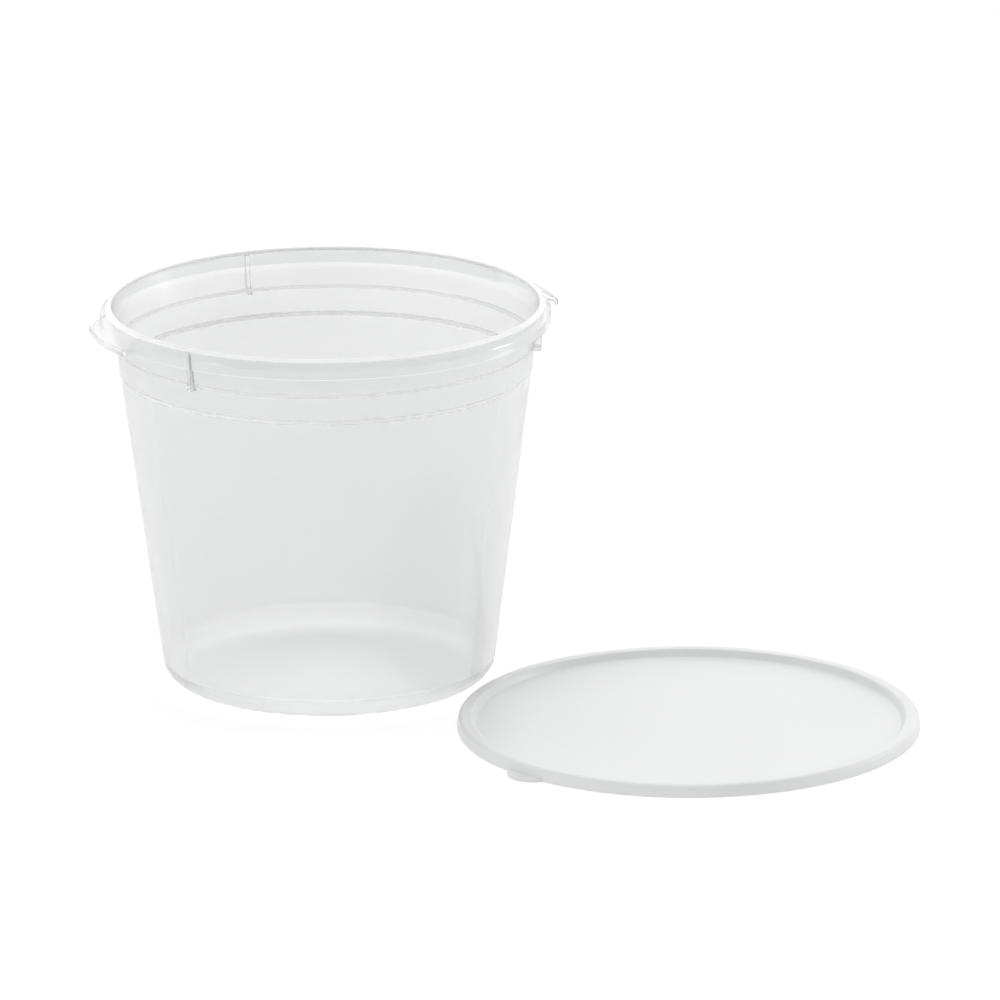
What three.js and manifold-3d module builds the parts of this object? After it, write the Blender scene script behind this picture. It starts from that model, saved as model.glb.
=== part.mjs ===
// A round see-through plastic food tub, and its flat press-on lid lying beside it.
// Millimetres, +Z up. The tub stands on its foot ring and the lid lies on its skirt, both at z = 0.
// The origin is under the middle of the pair's bounding box.
// Each piece is a thin moulding: a section turned round its own axis, with grips or a tab joined on.
import * as THREE from 'three';
import { mergeVertices } from 'three/addons/utils/BufferGeometryUtils.js';
import Module from 'manifold-3d';

const wasm = await Module();
wasm.setup();

// Facets round a full turn, and how far a cutting shape reaches past what it cuts.
const TURN_FACETS = 80;
const SLACK = 0.5;

// The tub's wall: an outside radius that grows with height, and two small ledges under the rim.
const TUB_HEIGHT = 193.5;
const WALL = 1.2;
const BASE_RADIUS = 82.65;
const WALL_DRAFT = 0.1285;
const LEDGE = 0.5;
const LOWER_LEDGE_Z = 159.7;
const UPPER_LEDGE_Z = 173.5;
const MIDDLE_DRAFT = 0.07;
const TOP_DRAFT = 0.17;

// The tub's base: the wall turns in to a narrow flat foot ring, and the floor inside it is domed up.
const FOOT_CORNER = 10.5;
const FOOT_FLAT = 1.0;
const FLOOR_DOME = 8.4;
const DOME_STEPS = 6;

// The rim: a thin crest, a flange that slopes out and down from it, and a short upright skirt.
const CREST_RADIUS = 107.8;
const CREST_ROUND = 0.75;
const FLANGE_SLOPE = 44;
const FLANGE = 1.15;
const SKIRT_RADIUS = 112.8;
const SKIRT_BOTTOM = 183.9;
const SHOULDER_ROUND = 2.2;
const CHANNEL_TOP = 191.7;

// Two finger grips on opposite sides, where the flange and the skirt bulge out.
const GRIP_ANGLES = [24.8, 201.8];
const GRIP_HALF_ANGLE = 15.0;
const GRIP_BLEND = 3.4;
const GRIP_RADIUS = 119.4;
const GRIP_SLOPE = 30;
const GRIP_ROUND = 1.4;
const GRIP_ROOT = CREST_RADIUS + 0.8;
const GRIP_HOLLOW_ROOT = GRIP_ROOT + 0.6;
const GRIP_STEPS = 28;

// Three upright ribs between the wall and the flange, a third of a turn apart.
const FIRST_RIB_ANGLE = -7.3;
const RIB_COUNT = 3;
const RIB_WIDTH = 2.2;
const RIB_BOTTOM = 171.1;
const RIB_OUTSIDE = 108.7;
const RIB_TOP_OUTSIDE = 109.3;
const RIB_CORNER = 0.8;
const RIB_ROOT = 0.7;

// The lid: a flat panel let into a raised bead, whose skirt stands on the table.
const LID_PLACE = [179.5, -92.9];
const LID_RADIUS = 114.7;
const LID_HEIGHT = 6.0;
const LID_WALL = 1.1;
const LID_SKIRT_LEAN = 0.5;
const BEAD_ROUND = 1.9;
const BEAD_INSIDE = 108.4;
const BEAD_INNER_ROUND = 1.4;
const BEAD_INNER_END = 150;
const PLUG_RADIUS = 106.9;
const PLUG_CHAMFER = 0.6;
const PANEL_Z = 2.5;
const PANEL = 1.1;
const PANEL_FILLET = 1.0;
const PANEL_FILLET_START = -20;
const SNAP_LIP = 0.4;
const SNAP_Z = 0.6;

// The lid's pull tab: the part of a small disc that stands out past the skirt.
const TAB_ANGLE = -135.2;
const TAB_ROUND = 13.0;
const TAB_REACH = 7.2;
const TAB_THICKNESS = 1.2;
const TAB_SIDES = 36;

const radians = THREE.MathUtils.degToRad;
const point = (r, z) => new THREE.Vector2(r, z);

// Points on a circle of radius r round (cr, cz) of the section plane, between two angles in degrees.
function arc(cr, cz, r, from, to, steps) {
  const points = [];
  for (let i = 0; i <= steps; i += 1) {
    const a = radians(from + ((to - from) * i) / steps);
    points.push(point(cr + r * Math.cos(a), cz + r * Math.sin(a)));
  }
  return points;
}

// The tub's outside radius at a height; the wall is WALL thinner inside.
function wallRadius(z) {
  const atLower = BASE_RADIUS + WALL_DRAFT * LOWER_LEDGE_Z + LEDGE;
  const atUpper = atLower + MIDDLE_DRAFT * (UPPER_LEDGE_Z - LOWER_LEDGE_Z) + LEDGE;
  if (z < LOWER_LEDGE_Z) return BASE_RADIUS + WALL_DRAFT * z;
  if (z < UPPER_LEDGE_Z) return atLower + MIDDLE_DRAFT * (z - LOWER_LEDGE_Z);
  return atUpper + TOP_DRAFT * (z - UPPER_LEDGE_Z);
}

// A ledge is a short steep step, from just under its height to just over it.
function ledge(z, thickness) {
  const bottom = z - LEDGE / 2;
  const top = z + LEDGE / 2;
  return [point(wallRadius(bottom) - thickness, bottom), point(wallRadius(top) - thickness, top)];
}

// The corner where the wall turns in to the foot, from the foot up to the wall.
// depth is how far inside the outer surface the line runs.
function footCorner(depth, steps) {
  const lean = Math.atan(WALL_DRAFT);
  const centre = wallRadius(FOOT_CORNER) - FOOT_CORNER / Math.cos(lean);
  return arc(centre, FOOT_CORNER, FOOT_CORNER - depth, -90, -THREE.MathUtils.radToDeg(lean), steps);
}

// The floor's dome from the axis out to the foot ring, level at both ends.
function dome(height) {
  const edge = footCorner(0, 1)[0].x - FOOT_FLAT;
  const points = [];
  for (let i = 0; i <= DOME_STEPS; i += 1) {
    const share = i / DOME_STEPS;
    points.push(point(edge * share, height + FLOOR_DOME * (1 - share * share) ** 2));
  }
  return points;
}

// The height at a radius of a roof that touches the crest's round from above and slopes down outward.
// depth is how far below the roof's own surface the line runs.
function roofHeight(r, slope, depth) {
  const normal = radians(90 - slope);
  const crestZ = TUB_HEIGHT - CREST_ROUND;
  const reach = CREST_RADIUS * Math.cos(normal) + crestZ * Math.sin(normal) + CREST_ROUND - depth;
  return (reach - r * Math.cos(normal)) / Math.sin(normal);
}

// The centre of an outer round that touches the roof and the upright face at a radius.
function roundCentre(radius, round, slope) {
  const drop = round / Math.sin(radians(90 - slope));
  return [radius - round, roofHeight(radius - round, slope, 0) - drop];
}

// The tub's half section, anticlockwise: floor underside, foot, outside wall, channel under the
// flange, skirt, flange, crest, inside wall and floor top.
function tubSection() {
  const shoulder = roundCentre(SKIRT_RADIUS, SHOULDER_ROUND, FLANGE_SLOPE);
  const normal = 90 - FLANGE_SLOPE;
  return [
    ...dome(0),
    ...footCorner(0, 8),
    ...ledge(LOWER_LEDGE_Z, 0),
    ...ledge(UPPER_LEDGE_Z, 0),
    point(wallRadius(CHANNEL_TOP), CHANNEL_TOP),
    ...arc(...shoulder, SHOULDER_ROUND - FLANGE, normal, 0, 2),
    point(SKIRT_RADIUS - FLANGE, SKIRT_BOTTOM),
    point(SKIRT_RADIUS, SKIRT_BOTTOM),
    ...arc(...shoulder, SHOULDER_ROUND, 0, normal, 4),
    ...arc(CREST_RADIUS, TUB_HEIGHT - CREST_ROUND, CREST_ROUND, normal, 90, 2),
    ...arc(CREST_RADIUS, TUB_HEIGHT - CREST_ROUND, CREST_ROUND, 120, 180, 2),
    ...ledge(UPPER_LEDGE_Z, WALL).reverse(),
    ...ledge(LOWER_LEDGE_Z, WALL).reverse(),
    ...footCorner(WALL, 6).reverse(),
    ...dome(WALL).reverse(),
  ];
}

// The lid's half section, anticlockwise: panel underside, plug, channel, skirt, bead and panel top.
function lidSection() {
  const underside = PANEL_Z - PANEL;
  const inside = LID_RADIUS - LID_WALL;
  const bead = [LID_RADIUS - LID_SKIRT_LEAN - BEAD_ROUND, LID_HEIGHT - BEAD_ROUND];
  const innerBead = [BEAD_INSIDE, LID_HEIGHT - BEAD_INNER_ROUND];
  const panelFoot = [PLUG_RADIUS - LID_WALL - PANEL_FILLET, PANEL_Z + PANEL_FILLET];
  return [
    point(0, underside),
    point(PLUG_RADIUS - PLUG_CHAMFER, underside),
    point(PLUG_RADIUS, underside + PLUG_CHAMFER),
    point(PLUG_RADIUS, LID_HEIGHT - 2 * LID_WALL),
    point(PLUG_RADIUS + LID_WALL, LID_HEIGHT - LID_WALL),
    ...arc(...bead, BEAD_ROUND - LID_WALL, 90, 0, 2),
    point(inside - SNAP_LIP / 2, SNAP_Z + 2 * SNAP_LIP),
    point(inside - SNAP_LIP, SNAP_Z),
    point(inside, 0),
    point(LID_RADIUS, 0),
    ...arc(...bead, BEAD_ROUND, 0, 90, 4),
    ...arc(...innerBead, BEAD_INNER_ROUND, 90, BEAD_INNER_END, 3),
    ...arc(...panelFoot, PANEL_FILLET, PANEL_FILLET_START, -90, 3),
    point(0, PANEL_Z),
  ];
}

// Turns a half section round the Z axis. A ring's section is closed first.
function turned(section, ring = false) {
  const points = ring ? [...section, section[0]] : section;
  return new THREE.LatheGeometry(points, TURN_FACETS).rotateX(Math.PI / 2);
}

// A flat outline in the XY plane, made into a slab between two heights.
function slab(outline, bottom, top) {
  const shape = new THREE.Shape(outline);
  const geometry = new THREE.ExtrudeGeometry(shape, { depth: top - bottom, bevelEnabled: false });
  return geometry.translate(0, 0, bottom);
}

// A closed mesh as a solid that can be joined and cut. Facets that shrink to a line are dropped.
function solid(geometry) {
  geometry.deleteAttribute('normal');
  geometry.deleteAttribute('uv');
  const merged = mergeVertices(geometry, 1e-4);
  const corners = merged.index.array;
  const kept = [];
  for (let i = 0; i < corners.length; i += 3) {
    const [a, b, c] = corners.slice(i, i + 3);
    if (a !== b && b !== c && c !== a) kept.push(a, b, c);
  }
  return new wasm.Manifold(new wasm.Mesh({
    numProp: 3,
    vertProperties: Float32Array.from(merged.attributes.position.array),
    triVerts: Uint32Array.from(kept),
  }));
}

// A joined solid back as a geometry that a mesh can show.
function shown(body) {
  const mesh = body.getMesh();
  const places = Float32Array.from(mesh.vertProperties);
  const geometry = new THREE.BufferGeometry();
  geometry.setAttribute('position', new THREE.BufferAttribute(places, 3));
  geometry.setIndex(new THREE.BufferAttribute(Uint32Array.from(mesh.triVerts), 1));
  geometry.computeVertexNormals();
  return geometry;
}

// How far a grip bulges at an angle from its middle: 1 along its length, easing to 0 at its ends.
function gripBulge(angle, halfAngle) {
  return THREE.MathUtils.smoothstep((halfAngle - Math.abs(angle)) / GRIP_BLEND, 0, 1);
}

// A grip's plan: an arc at the root radius, and outside it the bulging skirt, drawn in by thickness.
// The steps crowd towards the two ends, where the outline turns.
function gripPlan(middle, root, thickness) {
  const halfAngle = GRIP_HALF_ANGLE - THREE.MathUtils.radToDeg(thickness / GRIP_RADIUS);
  const outside = [];
  const inside = [];
  for (let i = 0; i <= GRIP_STEPS; i += 1) {
    const angle = halfAngle * Math.sin(Math.PI * (i / GRIP_STEPS - 0.5));
    const reach = (GRIP_RADIUS - SKIRT_RADIUS) * gripBulge(angle, halfAngle);
    const turn = radians(middle + angle);
    const r = SKIRT_RADIUS + reach - thickness;
    outside.push(point(r * Math.cos(turn), r * Math.sin(turn)));
    inside.unshift(point(root * Math.cos(turn), root * Math.sin(turn)));
  }
  return [...outside, ...inside];
}

// The ring under a grip's sloping roof: its section from the root out to the grip's rounded edge.
function gripEnvelope(root, bottom, depth) {
  const centre = roundCentre(GRIP_RADIUS, GRIP_ROUND, GRIP_SLOPE);
  return turned([
    point(root, bottom),
    point(GRIP_RADIUS - depth, bottom),
    ...arc(...centre, GRIP_ROUND - depth, 0, 90 - GRIP_SLOPE, 3),
    point(root, roofHeight(root, GRIP_SLOPE, depth)),
  ], true);
}

// One grip's shape between two heights: its plan, cut off by the roof a given depth down.
function gripShape(middle, root, bottom, depth) {
  const plan = slab(gripPlan(middle, root, depth), bottom, TUB_HEIGHT + SLACK);
  return solid(plan).intersect(solid(gripEnvelope(root - SLACK, bottom - SLACK, depth)));
}

// One rib: its side outline stands in the wall and the flange, and its lower outer corner is rounded.
function rib(angle) {
  const outline = [
    point(wallRadius(RIB_BOTTOM) - RIB_ROOT, RIB_BOTTOM),
    ...arc(RIB_OUTSIDE - RIB_CORNER, RIB_BOTTOM + RIB_CORNER, RIB_CORNER, -90, 0, 3),
    point(RIB_TOP_OUTSIDE, roofHeight(RIB_TOP_OUTSIDE, FLANGE_SLOPE, FLANGE / 2)),
    point(wallRadius(CHANNEL_TOP) - RIB_ROOT, CHANNEL_TOP),
  ];
  return slab(outline, -RIB_WIDTH / 2, RIB_WIDTH / 2).rotateX(Math.PI / 2).rotateZ(radians(angle));
}

// The turned tub, with a full block added at each grip, and the block then hollowed from below
// until it is as thin as the rim.
function tub() {
  let body = solid(turned(tubSection()));
  for (const middle of GRIP_ANGLES) {
    body = body.add(gripShape(middle, GRIP_ROOT, SKIRT_BOTTOM, 0));
  }
  for (const middle of GRIP_ANGLES) {
    body = body.subtract(gripShape(middle, GRIP_HOLLOW_ROOT, SKIRT_BOTTOM - SLACK, FLANGE));
  }
  for (let i = 0; i < RIB_COUNT; i += 1) {
    body = body.add(solid(rib(FIRST_RIB_ANGLE + (360 * i) / RIB_COUNT)));
  }
  return shown(body);
}

// The tab's disc is cut off inside the skirt, so that it joins only the skirt's lower edge.
function tab() {
  const centre = point(LID_RADIUS + TAB_REACH - TAB_ROUND, 0).rotateAround(point(0, 0), radians(TAB_ANGLE));
  const outline = arc(centre.x, centre.y, TAB_ROUND, 0, 360 - 360 / TAB_SIDES, TAB_SIDES - 1);
  const cut = LID_RADIUS - LID_WALL / 2;
  const insideSkirt = turned([
    point(0, -SLACK),
    point(cut, -SLACK),
    point(cut, LID_HEIGHT),
    point(0, LID_HEIGHT),
  ]);
  return solid(slab(outline, 0, TAB_THICKNESS)).subtract(solid(insideSkirt));
}

function lid() {
  return shown(solid(turned(lidSection())).add(tab()));
}

const clearPlastic = new THREE.MeshStandardMaterial({ color: 0xe9ebeb, roughness: 0.14, metalness: 0 });
const whitePlastic = new THREE.MeshStandardMaterial({ color: 0xf1f2f2, roughness: 0.34, metalness: 0 });

function piece(name, geometry, material, [x, y]) {
  const mesh = new THREE.Mesh(geometry, material);
  mesh.name = name;
  mesh.position.set(x, y, 0);
  return mesh;
}

const pair = new THREE.Group();
pair.add(piece('tub', tub(), clearPlastic, [0, 0]));
pair.add(piece('lid', lid(), whitePlastic, LID_PLACE));

// The pair is slid over the table until the middle of its bounding box is over the origin.
const middle = new THREE.Box3().setFromObject(pair, true).getCenter(new THREE.Vector3());
for (const part of pair.children) part.position.sub(new THREE.Vector3(middle.x, middle.y, 0));

export default pair;
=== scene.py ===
"""A round see-through food tub and its milky lid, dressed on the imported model.

Metres, +Z up. Sections are worked out in millimetres, as (radius, height) points, and turned round
their own axis. A section may change with the angle: that makes the grips, the ribs and the tab.
"""
import math

import bmesh
import bpy
from mathutils import Matrix, Vector


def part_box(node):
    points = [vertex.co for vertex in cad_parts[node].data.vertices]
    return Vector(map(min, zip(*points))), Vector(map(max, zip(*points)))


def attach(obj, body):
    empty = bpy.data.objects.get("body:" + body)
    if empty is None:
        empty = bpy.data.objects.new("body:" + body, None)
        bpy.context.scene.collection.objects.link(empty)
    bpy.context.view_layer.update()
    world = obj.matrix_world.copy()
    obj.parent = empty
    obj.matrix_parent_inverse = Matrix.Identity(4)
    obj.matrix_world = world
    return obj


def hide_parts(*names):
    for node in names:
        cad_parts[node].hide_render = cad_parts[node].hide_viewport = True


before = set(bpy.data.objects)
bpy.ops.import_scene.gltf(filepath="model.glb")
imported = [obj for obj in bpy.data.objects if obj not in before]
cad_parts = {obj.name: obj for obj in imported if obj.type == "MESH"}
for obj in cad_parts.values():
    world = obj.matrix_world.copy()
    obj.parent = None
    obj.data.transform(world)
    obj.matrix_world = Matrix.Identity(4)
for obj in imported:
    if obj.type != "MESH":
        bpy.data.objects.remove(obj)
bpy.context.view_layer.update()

MM = 0.001

# The tub's wall: its outside radius grows with height, and two small ledges run round under the rim.
TUB_HEIGHT = 193.5
WALL = 1.2
BASE_RADIUS = 82.65
WALL_DRAFT = 0.1285
LEDGE = 0.5
LEDGE_RISE = 0.6
LOWER_LEDGE_Z = 159.7
UPPER_LEDGE_Z = 173.5
MIDDLE_DRAFT = 0.07
TOP_DRAFT = 0.17

# The wall's points: one every WALL_STEP in height, none within WALL_GAP of its ends, and finer ones
# at each ledge.
WALL_STEP = 12
WALL_GAP = 3.0
LEDGE_STEP = 0.1
LEDGE_STEPS = 5

# The tub's base: the wall turns in to a narrow flat foot ring, and the floor inside it is domed up.
FOOT_CORNER = 10.5
FOOT_FLAT = 1.0
FLOOR_DOME = 8.4
WALL_START = FOOT_CORNER + 3

# The gate mark in the middle of the floor: a low disc with a nub on it, each with a soft edge.
GATE_HEIGHT = 0.3
GATE_RADIUS = 3.2
GATE_EDGE = 0.7
NUB_RADIUS = 1.1
NUB_EDGE = 0.5
GATE_RINGS = (0.0, 0.5, 0.8, 1.1, 1.8, 2.5, 2.7, 2.9, 3.1, 3.3, 4.5)
FLOOR_START = 8.0
FLOOR_STEPS = 16

# The rim: crest, sloping flange and upright skirt.
CREST_RADIUS = 107.8
CREST_ROUND = 0.75
FLANGE_SLOPE = 44.0
FLANGE = 1.15
SKIRT_RADIUS = 112.8
SKIRT_BOTTOM = 183.9
SKIRT_EDGE = 0.35
SHOULDER_ROUND = 2.2
INNER_ROUND_LEAST = 0.15

# How far the inside wall and the channel end under the rim, and the radius where the flange's roof
# gets its point next to the crest.
ROOT_DROP = 1.5
ROOF_START = CREST_RADIUS + 1.2

# The two finger grips.
GRIP_ANGLES = (24.8, 201.8)
GRIP_HALF_ANGLE = 15.0
GRIP_BLEND = 3.4
GRIP_RADIUS = 119.4
GRIP_SLOPE = 30.0
GRIP_ROUND = 1.4

# The finer steps in degrees at a grip's two ends.
GRIP_STEP = 0.2
GRIP_STEPS = 10

# The three ribs between the wall and the flange.
FIRST_RIB_ANGLE = -7.3
RIB_COUNT = 3
RIB_WIDTH = 2.2
RIB_BOTTOM = 171.1
RIB_OUTSIDE = 108.7
RIB_TOP_OUTSIDE = 109.3
RIB_CORNER = 0.8

# A rib's edges are rounded: outside the flat share of its half width it falls back by a small share.
RIB_FLAT = 0.7
RIB_FALL = 0.12
RIB_STOPS = (0.7, 0.8, 0.88, 0.94, 0.98, 1.0)

# A rib's side falls to the wall within RIB_SIDE degrees, and the plain steps keep RIB_CLEAR degrees
# away from the rib.
RIB_SIDE = 0.03
RIB_CLEAR = 0.1

# The lid.
LID_PLACE = Vector((179.5, -92.9))
LID_RADIUS = 114.7
LID_HEIGHT = 6.0
LID_WALL = 1.1
LID_SKIRT_LEAN = 0.5
LID_EDGE = 0.25
LID_EDGE_IN = 0.02
BEAD_ROUND = 1.9
BEAD_INSIDE = 108.4
BEAD_INNER_ROUND = 1.4
BEAD_INNER_END = 150.0
PLUG_RADIUS = 106.9
PLUG_CHAMFER = 0.6
PANEL_Z = 2.5
PANEL = 1.1
PANEL_FILLET = 1.0
PANEL_FILLET_START = -20.0
SNAP_LIP = 0.4
SNAP_Z = 0.6

# The lid's pull tab.
TAB_ANGLE = -135.2
TAB_ROUND = 13.0
TAB_REACH = 7.2
TAB_THICKNESS = 1.2
TAB_EDGE = 0.3
TAB_ROOT = 0.075

# The finer steps along the tab, and the degrees that the nearest extra step and the plain steps keep
# from it.
TAB_STEPS = 40
TAB_SIDE = 0.1
TAB_CLEAR = 0.3

# Where each piece stands: the lid is found from its own box, and the tub from the lid.
lid_low, lid_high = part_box("lid")
LID_AXIS = Vector((lid_high[0] / MM - LID_RADIUS, lid_low[1] / MM + LID_RADIUS))
TUB_AXIS = LID_AXIS - LID_PLACE


# ---------------------------------------------------------------- sections

def arc(centre, radius, start, end, steps):
    """Points on a circle of the section plane between two angles in degrees."""
    points = []
    for i in range(steps + 1):
        a = math.radians(start + (end - start) * i / steps)
        points.append((centre[0] + radius * math.cos(a), centre[1] + radius * math.sin(a)))
    return points


def line(start, end, steps):
    """Points from start to end, without the last one."""
    return [mix_point(start, end, i / steps) for i in range(steps)]


def line_of_numbers(start, end, steps):
    """Evenly spaced numbers from start to end, both included."""
    return [mix(start, end, i / steps) for i in range(steps + 1)]


def mix(a, b, share):
    return a + (b - a) * share


def mix_point(a, b, share):
    return (mix(a[0], b[0], share), mix(a[1], b[1], share))


def smooth(share):
    """0 to 1 with no kink at either end."""
    share = min(max(share, 0.0), 1.0)
    return share * share * (3 - 2 * share)


def wall_radius(z):
    """The tub's outside radius at a height, with each ledge as a small smooth step."""
    at_lower = BASE_RADIUS + WALL_DRAFT * LOWER_LEDGE_Z
    at_upper = at_lower + MIDDLE_DRAFT * (UPPER_LEDGE_Z - LOWER_LEDGE_Z)
    if z < LOWER_LEDGE_Z:
        radius = BASE_RADIUS + WALL_DRAFT * z
    elif z < UPPER_LEDGE_Z:
        radius = at_lower + MIDDLE_DRAFT * (z - LOWER_LEDGE_Z)
    else:
        radius = at_upper + TOP_DRAFT * (z - UPPER_LEDGE_Z)
    for ledge_z in (LOWER_LEDGE_Z, UPPER_LEDGE_Z):
        radius += LEDGE * smooth((z - ledge_z) / LEDGE_RISE + 0.5)
    return radius


def wall_line(low, high, depth):
    """The wall's line between two heights, depth inside its outer surface, finer at the ledges."""
    heights = {low, high}
    rings = range(0, math.ceil(TUB_HEIGHT), WALL_STEP)
    heights.update(z for z in rings if low + WALL_GAP < z < high - WALL_GAP)
    for ledge_z in (LOWER_LEDGE_Z, UPPER_LEDGE_Z):
        close = [ledge_z + LEDGE_STEP * i for i in range(-LEDGE_STEPS, LEDGE_STEPS + 1)]
        heights.update(z for z in close if low < z < high)
    return [(wall_radius(z) - depth, z) for z in sorted(heights)]


def roof_height(radius, slope, depth):
    """The height of the flange's roof, which touches the crest's round from above, or of a line
    that runs depth under it."""
    normal = math.radians(90 - slope)
    crest_z = TUB_HEIGHT - CREST_ROUND
    reach = CREST_RADIUS * math.cos(normal) + crest_z * math.sin(normal) + CREST_ROUND - depth
    return (reach - radius * math.cos(normal)) / math.sin(normal)


def foot_corner(depth, steps):
    """The corner where the wall turns in to the foot, from the foot up to the wall."""
    lean = math.atan(WALL_DRAFT)
    centre = wall_radius(FOOT_CORNER) - FOOT_CORNER / math.cos(lean)
    return arc((centre, FOOT_CORNER), FOOT_CORNER - depth, -90, -math.degrees(lean), steps)


def gate_bump(radius):
    """The small raised disc in the middle of the floor, where the plastic came in."""
    disc = smooth((GATE_RADIUS - radius) / GATE_EDGE)
    nub = smooth((NUB_RADIUS - radius) / NUB_EDGE)
    return GATE_HEIGHT * (disc + nub) / 2


def dome(height, gate):
    """The domed floor's line from the axis out to the foot, level at both ends, at a height over
    its underside. gate is 1 with the gate mark and 0 without it."""
    edge = foot_corner(0, 1)[0][0] - FOOT_FLAT
    radii = [*GATE_RINGS, *line_of_numbers(FLOOR_START, edge, FLOOR_STEPS)]
    return [(r, height + FLOOR_DOME * (1 - (r / edge) ** 2) ** 2 + gate * gate_bump(r)) for r in radii]


def grip_share(angle):
    """How far the rim bulges at an angle: 1 along a grip, 0 away from both."""
    return max(smooth((GRIP_HALF_ANGLE - turn_between(angle, middle)) / GRIP_BLEND)
               for middle in GRIP_ANGLES)


def turn_between(a, b):
    """The angle between two directions, in degrees, 0 to 180."""
    return abs((a - b + 180) % 360 - 180)


def rib_half_angle():
    """Half of a rib's width as an angle, in degrees."""
    return math.degrees(RIB_WIDTH / 2 / RIB_OUTSIDE)


def rib_angles():
    """The angles of the ribs' middles, in degrees."""
    return [FIRST_RIB_ANGLE + 360 / RIB_COUNT * i for i in range(RIB_COUNT)]


def rib_share(angle):
    """How far the section reaches towards a rib's outline at an angle, with rounded rib edges."""
    half = rib_half_angle()
    nearest = min(turn_between(angle, middle) for middle in rib_angles())
    if nearest >= half + RIB_SIDE / 2:
        return 0.0
    past = max(nearest / half - RIB_FLAT, 0) / (1 - RIB_FLAT)
    return 1 - RIB_FALL * (1 - math.sqrt(max(1 - past * past, 0.0)))


def channel_line(angle, slope):
    """From the wall at the ribs' foot, up into the channel and out along the flange's underside.
    Within a rib the same points follow the rib's outline."""
    corner_radius = wall_radius(TUB_HEIGHT - ROOT_DROP)
    corner = (corner_radius, roof_height(corner_radius, slope, FLANGE))
    start = (wall_radius(RIB_BOTTOM), RIB_BOTTOM)
    end = (RIB_TOP_OUTSIDE, roof_height(RIB_TOP_OUTSIDE, slope, FLANGE))
    wall = [p for p in wall_line(RIB_BOTTOM, corner[1], 0) if p[1] < corner[1]]
    channel = wall + line(corner, end, 3) + [end]
    outline = [start]
    outline += arc((RIB_OUTSIDE - RIB_CORNER, RIB_BOTTOM + RIB_CORNER), RIB_CORNER, -90, 0, 5)
    rest = len(channel) - len(outline)
    outline += [mix_point(outline[-1], end, (i + 1) / rest) for i in range(rest)]
    share = rib_share(angle)
    return [mix_point(a, b, share) for a, b in zip(channel, outline)]


def tub_section(angle):
    """The tub's half section at an angle, anticlockwise from the axis."""
    share = grip_share(angle)
    slope = mix(FLANGE_SLOPE, GRIP_SLOPE, share)
    radius = mix(SKIRT_RADIUS, GRIP_RADIUS, share)
    round_ = mix(SHOULDER_ROUND, GRIP_ROUND, share)
    normal = 90 - slope
    centre_r = radius - round_
    centre = (centre_r, roof_height(centre_r, slope, 0) - round_ / math.sin(math.radians(normal)))
    inner = max(round_ - FLANGE, INNER_ROUND_LEAST)
    edge = SKIRT_EDGE
    crest = (CREST_RADIUS, TUB_HEIGHT - CREST_ROUND)
    return [
        *dome(0, 0),
        *foot_corner(0, 20),
        *wall_line(WALL_START, RIB_BOTTOM - 1, 0),
        *channel_line(angle, slope),
        *arc(centre, inner, normal, 0, 5),
        *arc((radius - FLANGE + edge, SKIRT_BOTTOM + edge), edge, 180, 270, 4),
        *arc((radius - edge, SKIRT_BOTTOM + edge), edge, 270, 360, 4),
        *arc(centre, round_, 0, normal, 10),
        (ROOF_START, roof_height(ROOF_START, slope, 0)),
        *arc(crest, CREST_ROUND, normal, 180, 10),
        *reversed(wall_line(WALL_START, crest[1] - ROOT_DROP, WALL)),
        *reversed(foot_corner(WALL, 20)),
        *reversed(dome(WALL, 1)),
    ]


def tab_radius(angle):
    """How far out the lid reaches at an angle: the skirt's radius, or the tab's round outline."""
    turn = math.radians(turn_between(angle, TAB_ANGLE))
    centre = LID_RADIUS + TAB_REACH - TAB_ROUND
    under = TAB_ROUND ** 2 - (centre * math.sin(turn)) ** 2
    if under <= 0 or turn > math.pi / 2:
        return LID_RADIUS
    return max(LID_RADIUS, centre * math.cos(turn) + math.sqrt(under))


def lid_section(angle):
    """The lid's half section at an angle, anticlockwise from the axis."""
    underside = PANEL_Z - PANEL
    inside = LID_RADIUS - LID_WALL
    bead = (LID_RADIUS - LID_SKIRT_LEAN - BEAD_ROUND, LID_HEIGHT - BEAD_ROUND)
    inner_bead = (BEAD_INSIDE, LID_HEIGHT - BEAD_INNER_ROUND)
    foot = (PLUG_RADIUS - LID_WALL - PANEL_FILLET, PANEL_Z + PANEL_FILLET)
    out = tab_radius(angle)
    edge = min(TAB_EDGE, out - LID_RADIUS)
    tab_root = LID_RADIUS + TAB_ROOT if out > LID_RADIUS + LID_EDGE else LID_RADIUS
    return [
        *line((0, underside), (PLUG_RADIUS - PLUG_CHAMFER, underside), 8),
        *arc((PLUG_RADIUS - PLUG_CHAMFER, underside + PLUG_CHAMFER), PLUG_CHAMFER, -90, 0, 4),
        (PLUG_RADIUS, LID_HEIGHT - 2 * LID_WALL),
        (PLUG_RADIUS + LID_WALL, LID_HEIGHT - LID_WALL),
        *arc(bead, BEAD_ROUND - LID_WALL, 90, 0, 6),
        (inside - SNAP_LIP / 2, SNAP_Z + 2 * SNAP_LIP),
        (inside - SNAP_LIP, SNAP_Z),
        (inside, 0),
        *arc((out - edge, edge), edge, -90, 0, 3),
        *arc((out - edge, TAB_THICKNESS - edge), edge, 0, 90, 3),
        (tab_root, TAB_THICKNESS),
        (LID_RADIUS - LID_EDGE_IN, TAB_THICKNESS + LID_EDGE),
        *arc(bead, BEAD_ROUND, 0, 90, 12),
        *arc(inner_bead, BEAD_INNER_ROUND, 90, BEAD_INNER_END, 8),
        *arc(foot, PANEL_FILLET, PANEL_FILLET_START, -90, 8),
        *reversed(line((0, PANEL_Z), (foot[0], PANEL_Z), 8)),
    ]


# ---------------------------------------------------------------- meshes

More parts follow.
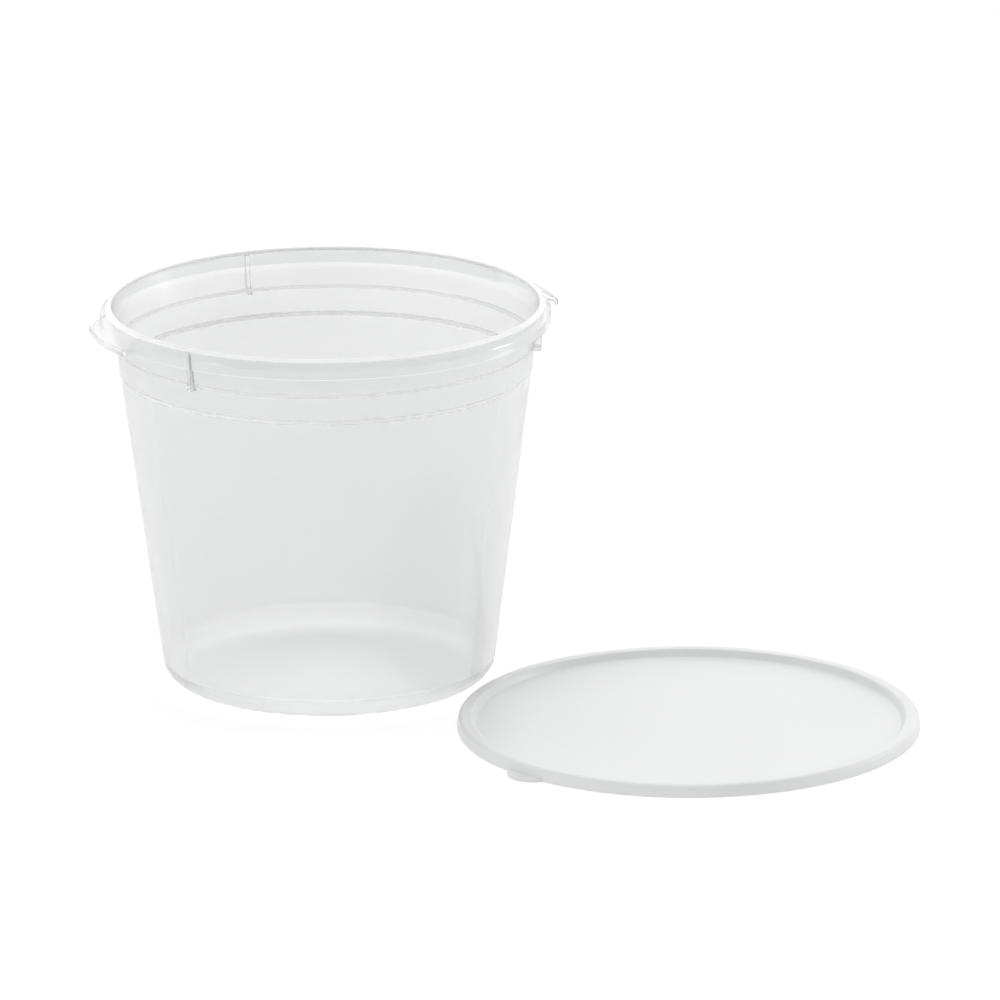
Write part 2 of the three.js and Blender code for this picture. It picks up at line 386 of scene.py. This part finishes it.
# Points closer than this many millimetres are one, and an edge that turns by more than this many
# degrees stays sharp.
MERGE_DISTANCE = 0.002
SHARP_ANGLE = 38.0


def turn_mesh(name, section, angles, axis):
    """Turns a section that may change with the angle into one closed mesh round an upright axis."""
    rows = []
    mesh = bmesh.new()
    foot = Vector((axis.x, axis.y, 0))
    for angle in angles:
        a = math.radians(angle)
        along = Vector((math.cos(a), math.sin(a), 0))
        points = [foot + along * r + Vector((0, 0, z)) for r, z in section(angle)]
        rows.append([mesh.verts.new(point * MM) for point in points])
    for i, row in enumerate(rows):
        following = rows[(i + 1) % len(rows)]
        for j in range(len(row) - 1):
            mesh.faces.new((row[j], following[j], following[j + 1], row[j + 1]))
    bmesh.ops.remove_doubles(mesh, verts=mesh.verts, dist=MERGE_DISTANCE * MM)
    bmesh.ops.dissolve_degenerate(mesh, edges=mesh.edges, dist=MERGE_DISTANCE / 2 * MM)
    bmesh.ops.recalc_face_normals(mesh, faces=mesh.faces)
    data = bpy.data.meshes.new(name)
    mesh.to_mesh(data)
    mesh.free()
    data.shade_smooth()
    data.set_sharp_from_angle(angle=math.radians(SHARP_ANGLE))
    piece = bpy.data.objects.new(name, data)
    bpy.context.scene.collection.objects.link(piece)
    return piece


def tub_angles():
    """One turn in degrees, in finer steps at the ends of the grips and at the ribs."""
    angles = {float(i) for i in range(360)}
    for middle in GRIP_ANGLES:
        for end in (-1, 1):
            ends = middle + end * (GRIP_HALF_ANGLE - GRIP_BLEND / 2)
            fine = range(-GRIP_STEPS, GRIP_STEPS + 1)
            angles.update(round((ends + GRIP_STEP * i) % 360, 3) for i in fine)
    half = rib_half_angle()
    for middle in rib_angles():
        angles = {a for a in angles if turn_between(a, middle) > half + RIB_CLEAR}
        for reach in (0, *(half * share for share in RIB_STOPS), half + RIB_SIDE):
            angles.update(((middle - reach) % 360, (middle + reach) % 360))
    return sorted(angles)


def lid_angles():
    """One turn in degrees, in finer steps that crowd towards the tab's ends."""
    centre = LID_RADIUS + TAB_REACH - TAB_ROUND
    reach = (LID_RADIUS ** 2 + centre ** 2 - TAB_ROUND ** 2) / (2 * LID_RADIUS * centre)
    half = math.degrees(math.acos(reach))
    angles = {float(i) for i in range(360) if turn_between(i, TAB_ANGLE) > half + TAB_CLEAR}
    for i in range(TAB_STEPS + 1):
        angles.add((TAB_ANGLE + half * math.sin(math.pi * (i / TAB_STEPS - 0.5))) % 360)
    angles.update(((TAB_ANGLE - half - TAB_SIDE) % 360, (TAB_ANGLE + half + TAB_SIDE) % 360))
    return sorted(angles)


# ---------------------------------------------------------------- materials

PLASTIC_IOR = 1.49

# The places of a mix node's two colours among its inputs, and of the mixed one among its outputs.
MIX_FIRST = 6
MIX_SECOND = 7
MIX_RESULT = 2

# The height in millimetres where the ramps by height end.
RAMP_TOP = 200.0

# How blurred the tub is at each height in millimetres: its roughness there.
BLUR = (
    (0, 0.30), (10, 0.30), (11.2, 0.07),
    (158.8, 0.07), (159.3, 0.50), (160.1, 0.50), (160.6, 0.09),
    (172.6, 0.12), (173.1, 0.50), (173.9, 0.50), (174.4, 0.16),
    (182.0, 0.16), (184.0, 0.15), (193.5, 0.15),
)

# How clear the tub is at each height in millimetres.
CLEARNESS = (
    (0, 0.90), (10, 0.90), (11.2, 0.75),
    (159.0, 0.75), (159.3, 0.15), (160.1, 0.15), (160.4, 0.76),
    (172.8, 0.78), (173.1, 0.15), (173.9, 0.15), (174.2, 0.80),
    (182.0, 0.82), (184.0, 0.91), (191.6, 0.91), (192.2, 0.15), (193.5, 0.15),
)


def new_material(name):
    """A node material, with its nodes, its links and its main shader."""
    material = bpy.data.materials.new(name)
    material.use_nodes = True
    nodes = material.node_tree.nodes
    return material, nodes, material.node_tree.links, nodes["Principled BSDF"]


def noise(nodes, links, place, scale, detail, roughness):
    """A noise that is fixed to the object, with scale waves to the metre."""
    node = nodes.new("ShaderNodeTexNoise")
    node.inputs["Scale"].default_value = scale
    node.inputs["Detail"].default_value = detail
    node.inputs["Roughness"].default_value = roughness
    links.new(place.outputs["Object"], node.inputs["Vector"])
    return node


def ranged(nodes, links, source, low, high):
    """A 0 to 1 output spread from low to high."""
    node = nodes.new("ShaderNodeMapRange")
    node.inputs["To Min"].default_value = low
    node.inputs["To Max"].default_value = high
    links.new(source, node.inputs["Value"])
    return node.outputs["Result"]


def bump(nodes, links, height, distance, strength, before=None):
    """A bumpy normal, distance deep in metres, on top of an earlier one if there is one."""
    node = nodes.new("ShaderNodeBump")
    node.inputs["Distance"].default_value = distance
    node.inputs["Strength"].default_value = strength
    links.new(height, node.inputs["Height"])
    if before is not None:
        links.new(before.outputs["Normal"], node.inputs["Normal"])
    return node


def by_height(nodes, links, place, steps):
    """A value that follows the height, from pairs of a height in millimetres and a value."""
    split = nodes.new("ShaderNodeSeparateXYZ")
    share = nodes.new("ShaderNodeMapRange")
    ramp = nodes.new("ShaderNodeValToRGB")
    share.inputs["From Max"].default_value = RAMP_TOP * MM
    links.new(place.outputs["Object"], split.inputs["Vector"])
    links.new(split.outputs["Z"], share.inputs["Value"])
    links.new(share.outputs["Result"], ramp.inputs["Fac"])
    stops = ramp.color_ramp.elements
    for element, (height, value) in zip(stops, (steps[0], steps[-1])):
        element.position = height / RAMP_TOP
        element.color = (value, value, value, 1)
    for height, value in steps[1:-1]:
        stops.new(height / RAMP_TOP).color = (value, value, value, 1)
    return ramp.outputs["Color"]


def clear_plastic():
    """See-through polypropylene: clear in the wall, blurred in the base, at the ledges and in the rim,
    with soft waves from the mould and fine handling marks."""
    material, nodes, links, shader = new_material("clear_plastic")
    place = nodes.new("ShaderNodeTexCoord")
    shader.inputs["Base Color"].default_value = (0.985, 0.99, 0.99, 1)
    links.new(by_height(nodes, links, place, CLEARNESS), shader.inputs["Transmission Weight"])
    shader.inputs["IOR"].default_value = PLASTIC_IOR
    waves = noise(nodes, links, place, scale=22, detail=2, roughness=0.4)
    grain = noise(nodes, links, place, scale=900, detail=3, roughness=0.5)
    rough = nodes.new("ShaderNodeMath")
    rough.operation = "ADD"
    links.new(ranged(nodes, links, grain.outputs["Fac"], -0.02, 0.02), rough.inputs[0])
    links.new(by_height(nodes, links, place, BLUR), rough.inputs[1])
    links.new(rough.outputs["Value"], shader.inputs["Roughness"])
    slow = bump(nodes, links, waves.outputs["Fac"], distance=0.0006, strength=0.35)
    fine = bump(nodes, links, grain.outputs["Fac"], distance=0.00002, strength=0.25, before=slow)
    links.new(fine.outputs["Normal"], shader.inputs["Normal"])
    return material


def milky_plastic():
    """Milky polypropylene: light goes through it blurred, and its skin is satin."""
    material, nodes, links, shader = new_material("milky_plastic")
    place = nodes.new("ShaderNodeTexCoord")
    shader.inputs["Transmission Weight"].default_value = 0.3
    shader.inputs["IOR"].default_value = PLASTIC_IOR
    cloud = noise(nodes, links, place, scale=14, detail=3, roughness=0.5)
    grain = noise(nodes, links, place, scale=1400, detail=2, roughness=0.5)
    tone = nodes.new("ShaderNodeMix")
    tone.data_type = "RGBA"
    tone.inputs[MIX_FIRST].default_value = (0.9, 0.905, 0.905, 1)
    tone.inputs[MIX_SECOND].default_value = (0.93, 0.935, 0.935, 1)
    links.new(cloud.outputs["Fac"], tone.inputs["Factor"])
    links.new(tone.outputs[MIX_RESULT], shader.inputs["Base Color"])
    links.new(ranged(nodes, links, grain.outputs["Fac"], 0.24, 0.42), shader.inputs["Roughness"])
    skin = bump(nodes, links, grain.outputs["Fac"], distance=0.00004, strength=0.3)
    links.new(skin.outputs["Normal"], shader.inputs["Normal"])
    return material


# The floor's glow: a painted pool of light near the tub's axis, brighter than the glow far from it,
# and where it changes, in metres from the axis.
POOL_GLOW_UNDER_TUB = 1.22
GLOW_FAR = 0.84
POOL_RADIUS = 0.07
POOL_FADE_RADIUS = 0.095


def floor_material():
    """A plain white floor, lit from within as a light table is, with a painted pool of light: it glows
    most under the tub.
    """
    material, nodes, links, shader = new_material("floor")
    place = nodes.new("ShaderNodeTexCoord")
    cloud = noise(nodes, links, place, scale=3, detail=2, roughness=0.4)
    links.new(ranged(nodes, links, cloud.outputs["Fac"], 0.5, 0.6), shader.inputs["Roughness"])
    shader.inputs["Base Color"].default_value = (0.2, 0.2, 0.2, 1)
    shader.inputs["Specular IOR Level"].default_value = 0.0
    shader.inputs["Emission Color"].default_value = (1, 1, 1, 1)
    far = nodes.new("ShaderNodeVectorMath")
    far.operation = "DISTANCE"
    far.inputs[1].default_value = (TUB_AXIS.x * MM, TUB_AXIS.y * MM, 0)
    # Painted pool of light: the floor's glow is brightest under the tub and fades further out.
    glow = nodes.new("ShaderNodeMapRange")
    glow.interpolation_type = "SMOOTHSTEP"
    glow.inputs["From Min"].default_value = POOL_RADIUS
    glow.inputs["From Max"].default_value = POOL_FADE_RADIUS
    glow.inputs["To Min"].default_value = POOL_GLOW_UNDER_TUB
    glow.inputs["To Max"].default_value = GLOW_FAR
    links.new(place.outputs["Object"], far.inputs[0])
    links.new(far.outputs["Value"], glow.inputs["Value"])
    links.new(glow.outputs["Result"], shader.inputs["Emission Strength"])
    return material


# ---------------------------------------------------------------- the scene

# The floor's radius and how far under the pieces it lies, in metres, and its corners.
FLOOR_RADIUS = 30.0
FLOOR_DROP = 0.0002
FLOOR_SEGMENTS = 128

# How bright the room is behind the camera and behind the pieces.
ROOM_FRONT = 0.12
ROOM_BACK = 1.6

# How often light may bounce, which thin clear walls need a good deal of.
BOUNCES = 16


def dress(piece, node, material):
    """Gives a piece its material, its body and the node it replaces."""
    piece.data.materials.append(material)
    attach(piece, "root")
    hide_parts(node)


def make_floor():
    """A wide flat disc just under the pieces."""
    mesh = bmesh.new()
    bmesh.ops.create_circle(mesh, cap_ends=True, cap_tris=True, segments=FLOOR_SEGMENTS,
                            radius=FLOOR_RADIUS)
    data = bpy.data.meshes.new("floor")
    mesh.to_mesh(data)
    mesh.free()
    floor = bpy.data.objects.new("floor", data)
    floor.data.materials.append(floor_material())
    bpy.context.scene.collection.objects.link(floor)
    floor.location.z = -FLOOR_DROP


def area_light(name, place, aim, size, power):
    """A rectangular light. Its place, aim and size are in metres and its power is in watts."""
    data = bpy.data.lights.new(name, "AREA")
    data.shape = "RECTANGLE"
    data.size, data.size_y = size
    data.energy = power
    light = bpy.data.objects.new(name, data)
    light.location = place
    light.rotation_euler = (Vector(aim) - Vector(place)).to_track_quat("-Z", "Y").to_euler()
    bpy.context.scene.collection.objects.link(light)


def make_lights():
    """Four soft lights: in front, above, at the left and at the right."""
    area_light("front", (0.0, -1.8, 2.0), (0, 0, 0.1), (2.4, 0.3), 14)
    area_light("top", (-0.1, 0.2, 2.3), (0, 0, 0.1), (1.0, 0.8), 8)
    area_light("left", (-1.6, -0.9, 1.0), (0.1, 0, 0), (0.3, 0.8), 4)
    area_light("right", (2.2, 0.5, 0.7), (0, 0, 0.1), (0.5, 1.2), 10)


def make_world():
    """A pale room: very bright behind the pieces and dim behind the camera."""
    world = bpy.data.worlds.new("studio")
    bpy.context.scene.world = world
    world.use_nodes = True
    nodes = world.node_tree.nodes
    links = world.node_tree.links
    nodes.clear()
    place = nodes.new("ShaderNodeTexCoord")
    split = nodes.new("ShaderNodeSeparateXYZ")
    spread = nodes.new("ShaderNodeMapRange")
    background = nodes.new("ShaderNodeBackground")
    out = nodes.new("ShaderNodeOutputWorld")
    spread.inputs["From Min"].default_value = -1.0
    spread.inputs["From Max"].default_value = 1.0
    spread.inputs["To Min"].default_value = ROOM_FRONT
    spread.inputs["To Max"].default_value = ROOM_BACK
    links.new(place.outputs["Generated"], split.inputs["Vector"])
    links.new(split.outputs["Y"], spread.inputs["Value"])
    links.new(spread.outputs["Result"], background.inputs["Strength"])
    links.new(background.outputs["Background"], out.inputs["Surface"])


# The camera, found from the rim, the ledges, the foot and the lid: its place is from the tub's axis
# and the table, its focal length is in pixels of the photograph's 1000 pixel frame.
FOCAL_PIXELS = 9001.5
FRAME_PIXELS = 1000.0
SENSOR_MM = 36.0
PITCH = 16.411
ROLL = -0.326
CAMERA_PLACE = Vector((86.66, -4341.0, 1368.1))


def make_camera():
    """The photograph's camera, turned down by its pitch and a little round its own axis."""
    data = bpy.data.cameras.new("camera")
    data.sensor_width = SENSOR_MM
    data.lens = FOCAL_PIXELS / FRAME_PIXELS * SENSOR_MM
    data.clip_start = 0.1
    data.clip_end = 100
    camera = bpy.data.objects.new("camera", data)
    pitch = math.radians(PITCH)
    roll = math.radians(ROLL)
    forward = Vector((0, math.cos(pitch), -math.sin(pitch)))
    right = Vector((1, 0, 0))
    up = right.cross(forward)
    side = right * math.cos(roll) + up * math.sin(roll)
    top = up * math.cos(roll) - right * math.sin(roll)
    turn = Matrix((side, top, -forward)).transposed().to_4x4()
    place = (Vector((TUB_AXIS.x, TUB_AXIS.y, 0)) + CAMERA_PLACE) * MM
    camera.matrix_world = Matrix.Translation(place) @ turn
    bpy.context.scene.collection.objects.link(camera)
    bpy.context.scene.camera = camera


make_camera()
make_world()
make_lights()
make_floor()
dress(turn_mesh("tub_moulding", tub_section, tub_angles(), TUB_AXIS), "tub",
      clear_plastic())
dress(turn_mesh("lid_moulding", lid_section, lid_angles(), LID_AXIS), "lid",
      milky_plastic())

bpy.context.scene.view_settings.view_transform = "Standard"
for name in ("max_bounces", "diffuse_bounces", "glossy_bounces", "transmission_bounces"):
    setattr(bpy.context.scene.cycles, name, BOUNCES)
